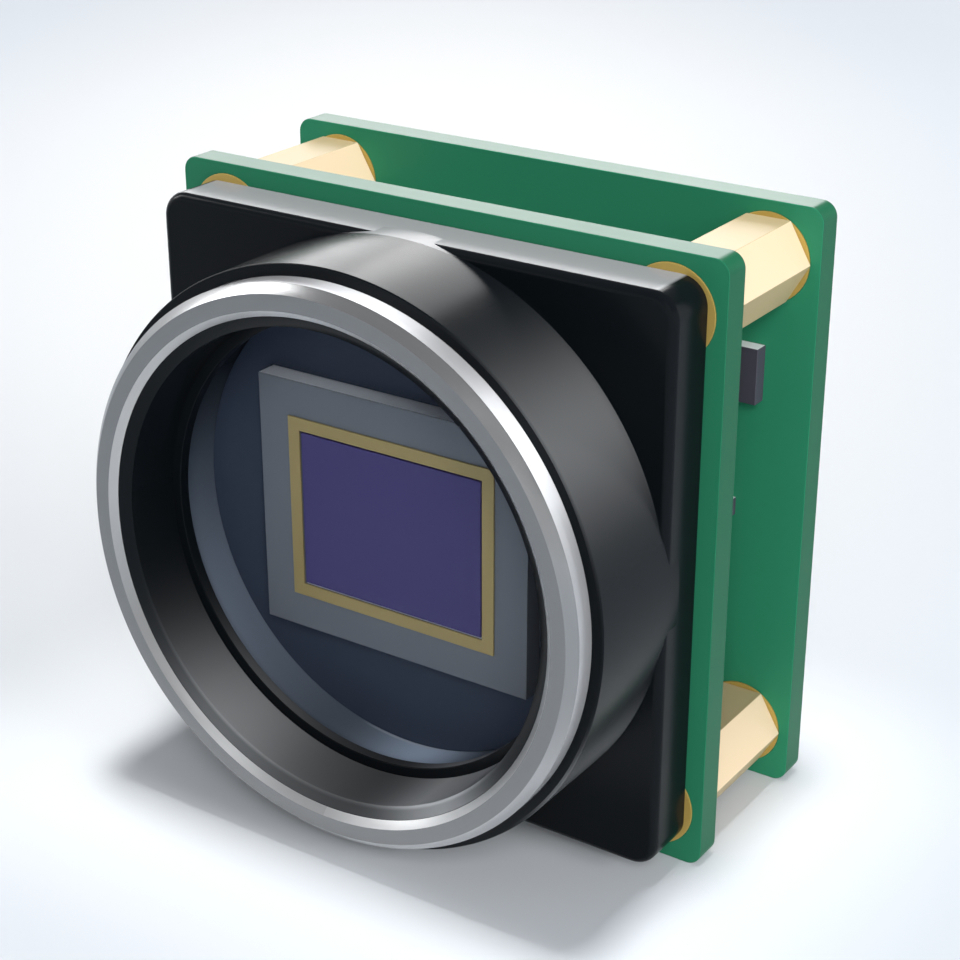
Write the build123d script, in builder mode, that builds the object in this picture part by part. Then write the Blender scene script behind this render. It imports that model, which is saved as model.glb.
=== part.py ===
"""Board-level camera: a lens holder and its image sensor on two stacked circuit boards.

The origin is the centre of the mount ring's front face, where a lens seats.
+Y runs back along the optical axis, +X to the right, +Z up. Sizes are in millimetres.
"""

from build123d import *
import os

os.makedirs("parts", exist_ok=True)

# Circuit boards
board_margin = 1.0
board_thickness = 1.55
board_corner_radius = 0.8
board_gap = 8.05

# Corner fastening: a bush in each board hole, spacers with a stud in front, screws behind
hole_inset = 2.9
thread_radius = 1.0
thread_clearance = 0.03
hole_clearance = 0.10
bush_radius = 2.32
bush_proud = 0.05
spacer_across_flats = 4.15
spacer_stud_reach = 2.1
spacer_bore_depth = 5.0
screw_head_radius = 1.9
screw_head_height = 2.0
screw_grip = 4.5
key_across_flats = 1.5
key_depth = 1.0

# Lens holder: a square plate with a round barrel, moulded as one
plate_thickness = 2.95
plate_corner_radius = 1.4
plate_edge_chamfer = 0.35
barrel_length = 5.7
barrel_lip = 0.6
barrel_root = 1.2
barrel_overhang = 0.1
bore_radius = 12.3
bore_length = 3.1
ledge_width = 0.53
ledge_thickness = 0.62
filter_seat = 0.73
stud_hole_spare = 0.25

# Mount ring and the holder's thin spigot inside it
ring_face = 1.61
ring_height = 1.5
ring_outer_chamfer = 0.45
ring_inner_chamfer = 0.35
ring_fit = 0.02
spigot_wall = 0.57
lead_in_depth = 0.35

# Filter and sensor
filter_thickness = 0.8
filter_clearance = 0.06
seal_thickness = 3.0
seal_clearance = 0.05
window_clearance = 0.05
package_width = 16.25
package_height = 13.8
package_thickness = 2.0
die_width = 10.9
die_height = 8.4
die_gap = 0.1
die_proud = 0.06
die_recess = 0.3
frame_bar = 0.69
frame_thickness = 0.1
socket_height = 2.07
socket_inset = 0.3
socket_rail = 2.6

# Board-to-board connector
connector_length = 18.0
connector_width = 5.0
connector_drop = 7.5
connector_play = 0.15
plug_height = 3.4
blade_length = 16.2
blade_width = 1.5
blade_reach = 2.0
contact_row_length = 14.3
contact_foot = 0.7
contact_thickness = 0.2

# Chips as (width, height, thickness), and their centres on a board face as (x, z)
memory_size = (5.0, 2.97, 0.87)
memory_place = (10.84, 7.08)
logic_size = (1.6, 0.96, 0.55)
logic_place = (11.35, -0.54)
regulator_size = (3.0, 1.7, 1.1)
regulator_place = (-8.5, 3.5)
processor_size = (12.0, 12.0, 1.3)
processor_place = (-2.0, 3.2)
processor_substrate = 0.45
processor_step = 0.5
frame_memory_size = (8.0, 9.0, 1.0)
frame_memory_place = (9.4, 3.2)
flash_size = (3.9, 4.9, 1.45)
flash_place = (-12.0, 3.2)
flash_leg_pitch = 1.27
flash_leg_count = 4
leg_width = 0.42
leg_thickness = 0.2
leg_out = 0.35
leg_foot = 0.6
oscillator_size = (3.2, 2.5, 0.9)
oscillator_place = (-11.8, -4.6)
oscillator_lid_step = 0.2
oscillator_base = 0.35
inductor_size = (5.0, 5.0, 3.0)
inductor_place = (10.6, -6.2)
inductor_corner = 1.2
chip_edge = 0.12

# Host connector on the rear board's back
header_length = 12.6
header_width = 4.4
header_height = 5.0
header_wall = 0.7
header_floor = 1.2
header_drop = 11.6
header_notch = 3.0
pin_count = 8
pin_pitch = 1.25
pin_width = 0.45
pin_top_gap = 0.8

# Chip capacitors and resistors as (length, width, height)
capacitor_size = (1.0, 0.55, 0.5)
resistor_size = (1.0, 0.5, 0.35)
terminal_length = 0.25
bypass_pitch = 2.0
bypass_count = 5
bypass_margin = 1.3
resistor_pitch = 1.1
resistor_count = 5
resistor_place = (-7.8, -5.6)
output_capacitor_places = ((6.6, -4.9), (6.6, -6.2), (6.6, -7.5))
sensor_capacitor_places = ((-3.0, 7.5), (3.0, 7.5), (-4.5, 1.0), (4.5, 1.0))

# Radii and widths worked out from the sizes above
bush_hole_radius = thread_radius + hole_clearance
tapped_radius = thread_radius + thread_clearance
spigot_radius = bore_radius + spigot_wall
ring_bore = spigot_radius + ring_fit
ring_radius = ring_bore + ring_face
barrel_radius = ring_radius + barrel_lip
plate_side = 2 * (barrel_radius - barrel_overhang)
board_side = plate_side + 2 * board_margin
hole_spacing = board_side - 2 * hole_inset
ledge_hole_radius = bore_radius - ledge_width
cavity_radius = ledge_hole_radius + filter_seat
frame_opening = (die_width + 2 * die_gap, die_height + 2 * die_gap)

# Depths along the optical axis
barrel_front = ring_height
plate_front = barrel_front + barrel_length
plate_back = plate_front + plate_thickness
board_front = plate_back + bush_proud
board_back = board_front + board_thickness
rear_board_front = board_back + board_gap
rear_board_back = rear_board_front + board_thickness
bore_front = ring_inner_chamfer + lead_in_depth
ledge_front = bore_front + bore_length
ledge_back = ledge_front + ledge_thickness
seal_front = board_front - seal_thickness
package_front = board_front - socket_height - package_thickness


def across(depth):
    """Plane square to the optical axis at a depth behind the ring's face, with X right and Z up."""
    return Plane.XZ.offset(-depth)


# Lens holder: plate, then barrel, then everything that is hollow in them
with BuildPart() as lens_holder:
    with BuildSketch(across(plate_front)):
        RectangleRounded(plate_side, plate_side, plate_corner_radius)
    extrude(amount=-plate_thickness)
    chamfer(lens_holder.edges().group_by(Axis.Y)[0], length=plate_edge_chamfer)
    with BuildSketch(Plane.XY):
        with BuildLine():
            Polyline(
                (0, plate_front + barrel_root),
                (barrel_radius, plate_front + barrel_root),
                (barrel_radius, barrel_front),
                (spigot_radius, barrel_front),
                (spigot_radius, ring_inner_chamfer),
                (bore_radius, bore_front),
                (0, bore_front),
                close=True,
            )
        make_face()
    revolve(axis=Axis.Y)
    with BuildSketch(Plane.XY):
        with BuildLine():
            Polyline(
                (0, 0),
                (bore_radius, 0),
                (bore_radius, ledge_front),
                (ledge_hole_radius, ledge_front),
                (ledge_hole_radius, ledge_back),
                (cavity_radius, ledge_back),
                (cavity_radius, board_back),
                (0, board_back),
                close=True,
            )
        make_face()
    revolve(axis=Axis.Y, mode=Mode.SUBTRACT)
    with BuildSketch(across(plate_back)):
        with GridLocations(hole_spacing, hole_spacing, 2, 2):
            Circle(tapped_radius)
    extrude(amount=spacer_stud_reach + stud_hole_spare, mode=Mode.SUBTRACT)
lens_holder.part.label = "lens_holder"
export_step(lens_holder.part, "parts/lens_holder.step")

# Mount ring: the flange that a lens seats on, pressed over the spigot
with BuildPart() as mount_ring:
    with BuildSketch(Plane.XY):
        with BuildLine():
            Polyline(
                (ring_bore + ring_inner_chamfer, 0),
                (ring_radius - ring_outer_chamfer, 0),
                (ring_radius, ring_outer_chamfer),
                (ring_radius, ring_height),
                (ring_bore, ring_height),
                (ring_bore, ring_inner_chamfer),
                close=True,
            )
        make_face()
    revolve(axis=Axis.Y)
mount_ring.part.label = "mount_ring"
export_step(mount_ring.part, "parts/mount_ring.step")

# Infrared-cut filter, bonded behind the ledge
with BuildPart() as filter_glass:
    with BuildSketch(across(ledge_back)):
        Circle(cavity_radius - filter_clearance)
    extrude(amount=-filter_thickness)
filter_glass.part.label = "filter_glass"
export_step(filter_glass.part, "parts/filter_glass.step")

# Rubber seal round the sensor, a plug in the back of the holder's cavity
with BuildPart() as sensor_seal:
    with BuildSketch(across(seal_front)):
        Circle(cavity_radius - seal_clearance)
        Rectangle(
            package_width + 2 * window_clearance,
            package_height + 2 * window_clearance,
            mode=Mode.SUBTRACT,
        )
    extrude(amount=-seal_thickness)
sensor_seal.part.label = "sensor_seal"
export_step(sensor_seal.part, "parts/sensor_seal.step")

# Ceramic sensor package with the shallow recess that holds the die
with BuildPart() as sensor_package:
    with BuildSketch(across(package_front)):
        Rectangle(package_width, package_height)
    extrude(amount=-package_thickness)
    with BuildSketch(across(package_front)):
        Rectangle(*frame_opening)
    extrude(amount=-die_recess, mode=Mode.SUBTRACT)
sensor_package.part.label = "sensor_package"
export_step(sensor_package.part, "parts/sensor_package.step")

# Gold frame round the recess
with BuildPart() as sensor_frame:
    with BuildSketch(across(package_front)):
        Rectangle(frame_opening[0] + 2 * frame_bar, frame_opening[1] + 2 * frame_bar)
        Rectangle(*frame_opening, mode=Mode.SUBTRACT)
    extrude(amount=frame_thickness)
sensor_frame.part.label = "sensor_frame"
export_step(sensor_frame.part, "parts/sensor_frame.step")

# Sensor die, bonded to the recess floor
with BuildPart() as sensor_die:
    with BuildSketch(across(package_front + die_recess)):
        Rectangle(die_width, die_height)
    extrude(amount=die_recess + die_proud)
sensor_die.part.label = "sensor_die"
export_step(sensor_die.part, "parts/sensor_die.step")

# Low socket that carries the package on the front board
with BuildPart() as sensor_socket:
    with BuildSketch(across(board_front)):
        socket_width = package_width - 2 * socket_inset
        socket_depth = package_height - 2 * socket_inset
        Rectangle(socket_width, socket_depth)
        Rectangle(socket_width - 2 * socket_rail, socket_depth - 2 * socket_rail, mode=Mode.SUBTRACT)
    extrude(amount=socket_height)
sensor_socket.part.label = "sensor_socket"
export_step(sensor_socket.part, "parts/sensor_socket.step")

# The two boards, and the plated bushes in their corner holes
for name, front in (("front", board_front), ("rear", rear_board_front)):
    with BuildPart() as board:
        with BuildSketch(across(front)):
            RectangleRounded(board_side, board_side, board_corner_radius)
            with GridLocations(hole_spacing, hole_spacing, 2, 2):
                Circle(bush_radius, mode=Mode.SUBTRACT)
        extrude(amount=-board_thickness)
    board.part.label = f"{name}_board"
    export_step(board.part, f"parts/{name}_board.step")

    with BuildPart() as bushes:
        with BuildSketch(across(front - bush_proud)):
            with GridLocations(hole_spacing, hole_spacing, 2, 2):
                Circle(bush_radius)
                Circle(bush_hole_radius, mode=Mode.SUBTRACT)
        extrude(amount=-(board_thickness + 2 * bush_proud))
    bushes.part.label = f"{name}_bushes"
    export_step(bushes.part, f"parts/{name}_bushes.step")

# Hexagonal spacers: stud through the front board into the holder, threaded hole for the screw
spacer_front = board_back + bush_proud
spacer_length = board_gap - 2 * bush_proud
stud_length = board_thickness + 2 * bush_proud + spacer_stud_reach
for name, side, level in (
    ("top_left", -1, 1),
    ("top_right", 1, 1),
    ("bottom_left", -1, -1),
    ("bottom_right", 1, -1),
):
    centre = (side * hole_spacing / 2, level * hole_spacing / 2)
    with BuildPart() as spacer:
        with BuildSketch(across(spacer_front)):
            with Locations(centre):
                RegularPolygon(spacer_across_flats / 2, 6, major_radius=False)
        extrude(amount=-spacer_length)
        with BuildSketch(across(spacer_front)):
            with Locations(centre):
                Circle(thread_radius)
        extrude(amount=stud_length)
        with BuildSketch(across(spacer_front + spacer_length)):
            with Locations(centre):
                Circle(tapped_radius)
        extrude(amount=spacer_bore_depth, mode=Mode.SUBTRACT)
    spacer.part.label = f"spacer_{name}"
    export_step(spacer.part, f"parts/spacer_{name}.step")

# Socket head screws through the rear board into the spacers
head_seat = rear_board_back + bush_proud
with BuildPart() as rear_screws:
    with BuildSketch(across(head_seat)):
        with GridLocations(hole_spacing, hole_spacing, 2, 2):
            Circle(screw_head_radius)
    extrude(amount=-screw_head_height)
    with BuildSketch(across(head_seat)):
        with GridLocations(hole_spacing, hole_spacing, 2, 2):
            Circle(thread_radius)
    extrude(amount=board_thickness + 2 * bush_proud + screw_grip)
    with BuildSketch(across(head_seat + screw_head_height)):
        with GridLocations(hole_spacing, hole_spacing, 2, 2):
            RegularPolygon(key_across_flats / 2, 6, major_radius=False)
    extrude(amount=key_depth, mode=Mode.SUBTRACT)
rear_screws.part.label = "rear_screws"
export_step(rear_screws.part, "parts/rear_screws.step")

# Board-to-board plug with its blade, on the front board's back
plug_face = board_back + plug_height
with BuildPart() as board_plug:
    with BuildSketch(across(board_back)):
        with Locations((0, -connector_drop)):
            Rectangle(connector_length, connector_width)
    extrude(amount=-plug_height)
    chamfer(board_plug.edges().group_by(Axis.Y)[-1], length=chip_edge)
    with BuildSketch(across(plug_face)):
        with Locations((0, -connector_drop)):
            Rectangle(blade_length, blade_width)
    extrude(amount=-blade_reach)
board_plug.part.label = "board_plug"
export_step(board_plug.part, "parts/board_plug.step")

# Mating receptacle on the rear board's front, with the slot for the blade
receptacle_height = board_gap - plug_height - connector_play
with BuildPart() as board_receptacle:
    with BuildSketch(across(rear_board_front)):
        with Locations((0, -connector_drop)):
            Rectangle(connector_length, connector_width)
    extrude(amount=receptacle_height)
    chamfer(board_receptacle.edges().group_by(Axis.Y)[0], length=chip_edge)
    with BuildSketch(across(rear_board_front - receptacle_height)):
        with Locations((0, -connector_drop)):
            Rectangle(blade_length + 2 * connector_play, blade_width + 2 * connector_play)
    extrude(amount=-(blade_reach + connector_play), mode=Mode.SUBTRACT)
board_receptacle.part.label = "board_receptacle"
export_step(board_receptacle.part, "parts/board_receptacle.step")

# Soldered contact rows of both connector halves, two on each board
contact_offset = (connector_width + contact_foot) / 2
with BuildPart() as connector_contacts:
    for face_depth, outward in ((board_back, -1), (rear_board_front, 1)):
        with BuildSketch(across(face_depth)):
            with Locations((0, -connector_drop)):
                with GridLocations(0, 2 * contact_offset, 1, 2):
                    Rectangle(contact_row_length, contact_foot)
        extrude(amount=outward * contact_thickness)
connector_contacts.part.label = "connector_contacts"
export_step(connector_contacts.part, "parts/connector_contacts.step")


def flat_chip(label, size, place, face_depth, outward):
    """Plain moulded chip on a board face; outward is 1 towards the lens and -1 towards the back."""
    width, height, thickness = size
    with BuildPart() as chip:
        with BuildSketch(across(face_depth)):
            with Locations(place):
                Rectangle(width, height)
        extrude(amount=outward * thickness)
    chip.part.label = label
    export_step(chip.part, f"parts/{label}.step")


flat_chip("memory_chip", memory_size, memory_place, rear_board_front, 1)
flat_chip("logic_chip", logic_size, logic_place, rear_board_front, 1)
flat_chip("regulator", regulator_size, regulator_place, board_back, -1)
flat_chip("frame_memory", frame_memory_size, frame_memory_place, rear_board_back, -1)

# Processor: a wider substrate under the moulded cap
with BuildPart() as processor:
    with BuildSketch(across(rear_board_back)):
        with Locations(processor_place):
            Rectangle(processor_size[0], processor_size[1])
    extrude(amount=-processor_substrate)
    with BuildSketch(across(rear_board_back + processor_substrate)):
        with Locations(processor_place):
            Rectangle(processor_size[0] - 2 * processor_step, processor_size[1] - 2 * processor_step)
    extrude(amount=-(processor_size[2] - processor_substrate))
    chamfer(processor.edges().group_by(Axis.Y)[-1], length=chip_edge)
processor.part.label = "processor"
export_step(processor.part, "parts/processor.step")

# Flash chip, and its bent legs along both sides
with BuildPart() as flash_chip:
    with BuildSketch(across(rear_board_back + leg_thickness / 2)):
        with Locations(flash_place):
            Rectangle(flash_size[0], flash_size[1])
    extrude(amount=-(flash_size[2] - leg_thickness / 2))
    chamfer(flash_chip.edges().group_by(Axis.Y)[-1], length=chip_edge)
flash_chip.part.label = "flash_chip"
export_step(flash_chip.part, "parts/flash_chip.step")

leg_level = rear_board_back + flash_size[2] / 2
foot_level = rear_board_back + leg_thickness / 2
leg_start = flash_size[0] / 2
with BuildPart() as flash_legs:
    for leg in range(flash_leg_count):
        leg_height = flash_place[1] + (leg - (flash_leg_count - 1) / 2) * flash_leg_pitch
        for side in (-1, 1):
            with BuildSketch(Plane.XY.offset(leg_height)):
                with BuildLine():
                    Polyline(
                        (flash_place[0] + side * leg_start, leg_level),
                        (flash_place[0] + side * (leg_start + leg_out), leg_level),
                        (flash_place[0] + side * (leg_start + leg_out), foot_level),
                        (flash_place[0] + side * (leg_start + leg_out + leg_foot), foot_level),
                    )
                trace(line_width=leg_thickness)
            extrude(amount=leg_width / 2, both=True)
flash_legs.part.label = "flash_legs"
export_step(flash_legs.part, "parts/flash_legs.step")

# Oscillator can: ceramic base with a smaller metal lid
with BuildPart() as oscillator:
    with BuildSketch(across(rear_board_back)):
        with Locations(oscillator_place):
            Rectangle(oscillator_size[0], oscillator_size[1])
    extrude(amount=-oscillator_base)
    with BuildSketch(across(rear_board_back + oscillator_base)):
        with Locations(oscillator_place):
            lid_width = oscillator_size[0] - 2 * oscillator_lid_step
            lid_height = oscillator_size[1] - 2 * oscillator_lid_step
            Rectangle(lid_width, lid_height)
    extrude(amount=-(oscillator_size[2] - oscillator_base))
oscillator.part.label = "oscillator"
export_step(oscillator.part, "parts/oscillator.step")

# Power inductor: a square block with bevelled corners
with BuildPart() as power_inductor:
    with BuildSketch(across(rear_board_back)):
        with Locations(inductor_place):
            Rectangle(inductor_size[0], inductor_size[1])
        chamfer(vertices(), length=inductor_corner)
    extrude(amount=-inductor_size[2])
    chamfer(power_inductor.edges().group_by(Axis.Y)[-1], length=chip_edge)
power_inductor.part.label = "power_inductor"
export_step(power_inductor.part, "parts/power_inductor.step")

# Host connector: an open box with a keying notch in its lower wall, and its row of pins
header_place = (0, -header_drop)
with BuildPart() as host_header:
    with BuildSketch(across(rear_board_back)):
        with Locations(header_place):
            Rectangle(header_length, header_width)
    extrude(amount=-header_height)
    with BuildSketch(across(rear_board_back + header_height)):
        with Locations(header_place):
            Rectangle(header_length - 2 * header_wall, header_width - 2 * header_wall)
        with Locations((0, -header_drop - header_width / 2)):
            Rectangle(header_notch, 2 * header_wall)
    extrude(amount=header_height - header_floor, mode=Mode.SUBTRACT)
    with BuildSketch(across(rear_board_back)):
        with Locations(header_place):
            with GridLocations(pin_pitch, 0, pin_count, 1):
                Rectangle(pin_width, pin_width)
    extrude(amount=-header_floor, mode=Mode.SUBTRACT)
host_header.part.label = "host_header"
export_step(host_header.part, "parts/host_header.step")

with BuildPart() as header_pins:
    with BuildSketch(across(rear_board_back)):
        with Locations(header_place):
            with GridLocations(pin_pitch, 0, pin_count, 1):
                Rectangle(pin_width, pin_width)
    extrude(amount=-(header_height - pin_top_gap))
header_pins.part.label = "header_pins"
export_step(header_pins.part, "parts/header_pins.step")


def chip_parts(label, size, rows):
    """Bodies and metal ends of chip components; each row is (face depth, outward, places)."""
    length, width, height = size
    with BuildPart() as bodies:
        for face_depth, outward, places in rows:
            with BuildSketch(across(face_depth)):
                with Locations(*places):
                    Rectangle(length - 2 * terminal_length, width)
            extrude(amount=outward * height)
    bodies.part.label = f"{label}_bodies"
    export_step(bodies.part, f"parts/{label}_bodies.step")
    with BuildPart() as ends:
        for face_depth, outward, places in rows:
            with BuildSketch(across(face_depth)):
                with Locations(*places):
                    with GridLocations(length - terminal_length, 0, 2, 1):
                        Rectangle(terminal_length, width)
            extrude(amount=outward * height)
    ends.part.label = f"{label}_ends"
    export_step(ends.part, f"parts/{label}_ends.step")


# Bypass capacitors above and below the processor, and the ones beside the inductor and sensor
row_start = processor_place[0] - (bypass_count - 1) / 2 * bypass_pitch
row_lift = processor_size[1] / 2 + bypass_margin
bypass_places = [
    (row_start + i * bypass_pitch, processor_place[1] + level * row_lift)
    for level in (-1, 1)
    for i in range(bypass_count)
]
chip_parts(
    "capacitor",
    capacitor_size,
    (
        (rear_board_back, -1, bypass_places + list(output_capacitor_places)),
        (board_back, -1, sensor_capacitor_places),
    ),
)

resistor_places = [(resistor_place[0], resistor_place[1] - i * resistor_pitch) for i in range(resistor_count)]
chip_parts("resistor", resistor_size, ((rear_board_back, -1, resistor_places),))
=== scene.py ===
"""Looks of the board-level camera module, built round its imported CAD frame.

The frame gives every place: origin at the centre of the mount ring's front face, -Y towards the
scene, +X right, +Z up, in metres. Sizes here are written in millimetres times MM.
"""

import logging
import math
from dataclasses import dataclass, field
from enum import Enum

import bmesh
import bpy
import numpy as np
from bpy.types import Material, Mesh, Node, NodeSocket as Socket, NodeTree, Object
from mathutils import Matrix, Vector

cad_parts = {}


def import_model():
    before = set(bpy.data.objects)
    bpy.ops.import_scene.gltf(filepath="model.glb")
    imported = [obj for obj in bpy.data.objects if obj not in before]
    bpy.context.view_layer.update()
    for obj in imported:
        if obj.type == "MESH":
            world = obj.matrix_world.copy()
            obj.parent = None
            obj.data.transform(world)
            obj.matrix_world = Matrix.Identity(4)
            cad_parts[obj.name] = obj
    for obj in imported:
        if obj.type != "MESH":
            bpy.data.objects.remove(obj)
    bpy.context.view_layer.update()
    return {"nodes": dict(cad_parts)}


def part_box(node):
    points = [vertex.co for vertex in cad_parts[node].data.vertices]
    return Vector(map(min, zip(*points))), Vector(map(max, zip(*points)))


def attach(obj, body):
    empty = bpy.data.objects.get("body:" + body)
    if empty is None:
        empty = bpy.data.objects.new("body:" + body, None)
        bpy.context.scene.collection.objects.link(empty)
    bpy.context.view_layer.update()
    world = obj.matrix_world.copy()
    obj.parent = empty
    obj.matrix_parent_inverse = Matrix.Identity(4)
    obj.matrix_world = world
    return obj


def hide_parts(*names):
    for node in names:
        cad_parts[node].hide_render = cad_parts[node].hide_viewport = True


MM = 0.001
BODY = "root"
LOG = logging.getLogger("camera_module")

Colour = tuple[float, float, float]
Pair = tuple[float, float]
Corner = tuple[float, float, float]


class LampUse(Enum):
    """What a lamp is for, as the pair (lights matt surfaces, shows in glossy ones)."""

    FILL = (True, False)
    CARD = (False, True)


# Geometry


def rounded_profile(outline: tuple[Corner, ...], steps: int = 5) -> np.ndarray:
    """Closed outline whose corners are replaced by arcs.

    With a and b the unit vectors from a corner to its neighbours and h half the angle between
    them, its arc of radius r starts r / tan h along a, ends as far along b, and has its centre
    r / sin h along a + b. Seen from the centre, the point at t from 0 to 1 is
    (start sin((1 - t) s) + end sin(t s)) / sin s, with s = 180 degrees - 2 h.

    Args:
        outline: Corners (radius, depth, arc radius) in order; arc radius 0 keeps one sharp.
        steps: Points on each arc less one.

    Returns:
        Array of points, one row each.
    """
    table = np.asarray(outline, float)
    pts = table[:, :2]
    out: list[np.ndarray] = []
    for i, r in enumerate(table[:, 2]):
        c = pts[i]
        if r <= 0:
            out.append(c[None, :])
            continue
        a = pts[i - 1] - c
        b = pts[(i + 1) % len(pts)] - c
        a /= np.linalg.norm(a)
        b /= np.linalg.norm(b)
        half = math.acos(float(np.clip(a @ b, -1, 1))) / 2
        middle = (a + b) / np.linalg.norm(a + b)
        centre = c + middle * (r / math.sin(half))
        start = c + a * (r / math.tan(half)) - centre
        end = c + b * (r / math.tan(half)) - centre
        t = np.linspace(0, 1, steps + 1)[:, None]
        sweep = math.pi - 2 * half
        arc = (start * np.sin((1 - t) * sweep) + end * np.sin(t * sweep)) / math.sin(sweep)
        out.append(centre + arc)
    return np.vstack(out)


def full_turn(segments: int) -> np.ndarray:
    """Angles of a full turn in even steps, the last one left out."""
    return np.linspace(0, 2 * math.pi, segments, endpoint=False)


def grid_quads(rows: int, cols: int, closed: bool) -> np.ndarray:
    """Corner numbers of the quads of a grid whose columns join round.

    The quad at (i, j) has the points (i, j), (i, j + 1), (i + 1, j + 1) and (i + 1, j).

    Args:
        rows: Rows of points.
        cols: Points in a row.
        closed: Whether the last row joins the first.

    Returns:
        Array (n, 4) of point numbers.
    """
    i, j = np.meshgrid(np.arange(rows if closed else rows - 1), np.arange(cols), indexing="ij")
    down, right = (i + 1) % rows, (j + 1) % cols
    quads = [i * cols + j, i * cols + right, down * cols + right, down * cols + j]
    return np.stack(quads, axis=-1).reshape(-1, 4)


def mesh_of(name: str, points: np.ndarray, faces: list[list[int]]) -> Mesh:
    """Mesh of an array of points and the faces over them.

    Args:
        name: Name of the mesh.
        points: Array of any shape whose last axis holds x, y and z.
        faces: Each face's point numbers.

    Returns:
        The new mesh.
    """
    mesh = bpy.data.meshes.new(name)
    mesh.from_pydata(points.reshape(-1, 3).tolist(), [], faces)
    return mesh


def revolved(name: str, profile: np.ndarray, segments: int, capped: bool = False) -> Mesh:
    """Profile turned about the optical axis.

    A point (r, y) goes to (r sin p, y, r cos p) for p from 0 to a full turn.

    Args:
        name: Name of the mesh.
        profile: Array (n, 2) of radius and depth in metres.
        segments: Steps in the full turn.
        capped: Closes the ends with flat faces, instead of joining the last point to the first.

    Returns:
        The closed mesh.
    """
    turn = full_turn(segments)
    r, y = profile.T[:, :, None]
    points = np.stack([r * np.sin(turn), y + 0 * turn, r * np.cos(turn)], axis=-1)
    faces = grid_quads(len(profile), segments, not capped).tolist()
    if capped:
        first = list(range(segments))
        faces += [first, [v + (len(profile) - 1) * segments for v in first]]
    return mesh_of(name, points, faces)


def square_loop(half: float, corner: float, steps: int = 10, straight: int = 12) -> np.ndarray:
    """Points (x, z) round a square with rounded corners.

    Each corner is an arc of the given radius about (half - corner, half - corner) turned to its
    quarter; the straight sides between the arcs are divided evenly.

    Args:
        half: Half the side.
        corner: Corner radius.
        steps: Steps on each corner's arc.
        straight: Steps on each straight side.

    Returns:
        Array (n, 2), the same n for any half and corner.
    """
    quarter = np.linspace(0, math.pi / 2, steps + 1)
    inner = half - corner
    arc = inner + corner * np.stack([np.sin(quarter), np.cos(quarter)], axis=-1)[::-1]
    t = np.linspace(0, 1, straight, endpoint=False)[1:, None]
    side = arc[-1] * (1 - t) + np.array([-inner, half]) * t
    piece = np.vstack([arc, side])
    quarters = np.arange(4) * math.pi / 2
    turns = [np.array([[math.cos(q), -math.sin(q)], [math.sin(q), math.cos(q)]]) for q in quarters]
    return np.vstack([piece @ m.T for m in turns])


def bars(name: str, boxes: np.ndarray) -> Mesh:
    """Separate rectangular bars in one mesh.

    Bar k spans low[k] to high[k]; its eight corners are low + (high - low) * (i, j, l) for i, j
    and l each 0 or 1.

    Args:
        name: Name of the mesh.
        boxes: Array (n, 2, 3) of lowest and highest corners.

    Returns:
        The mesh of n closed boxes.
    """
    unit = np.array([[i, j, k] for i in (0, 1) for j in (0, 1) for k in (0, 1)], float)
    corners = boxes[:, :1] + (boxes[:, 1:] - boxes[:, :1]) * unit
    sides = [[0, 1, 3, 2], [4, 6, 7, 5], [0, 4, 5, 1], [2, 3, 7, 6], [0, 2, 6, 4], [1, 5, 7, 3]]
    faces = np.array(sides)[None] + len(unit) * np.arange(len(boxes))[:, None, None]
    return mesh_of(name, corners, faces.reshape(-1, 4).tolist())


def add_piece(
    mesh: Mesh,
    material: Material,
    stands_for: tuple[str, ...] = (),
    crease: float = 32.0,
) -> Object:
    """Puts a finished mesh into the scene as a piece of the module.

    Args:
        mesh: The mesh, in the row frame.
        material: Its material.
        stands_for: CAD nodes that this piece shows in place of.
        crease: Angle in degrees above which an edge stays sharp.

    Returns:
        The new object.
    """
    solid = bmesh.new()
    solid.from_mesh(mesh)
    bmesh.ops.recalc_face_normals(solid, faces=solid.faces)
    solid.to_mesh(mesh)
    solid.free()
    mesh.polygons.foreach_set("use_smooth", np.ones(len(mesh.polygons), bool))
    mesh.set_sharp_from_angle(angle=math.radians(crease))
    mesh.materials.clear()
    mesh.materials.append(material)
    piece = bpy.data.objects.new(mesh.name, mesh)
    bpy.context.scene.collection.objects.link(piece)
    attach(piece, BODY)
    if stands_for:
        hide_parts(*stands_for)
    LOG.info("%s: %d faces", piece.name, len(mesh.polygons))
    return piece


def keep_flats(piece: Object) -> None:
    """Lets a piece's large flat faces set the shading of their corners, so that they shade flat.

    Args:
        piece: The piece that gets the modifier.
    """
    weighted = piece.modifiers.new("flat_faces", "WEIGHTED_NORMAL")
    weighted.mode = "FACE_AREA"
    weighted.weight = 100
    weighted.keep_sharp = True


# Shader building


@dataclass(frozen=True)
class Bell:
    """A bell curve over the bearing about the optical axis, in radians."""

    centre: float
    width: float
    peak: float


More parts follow.
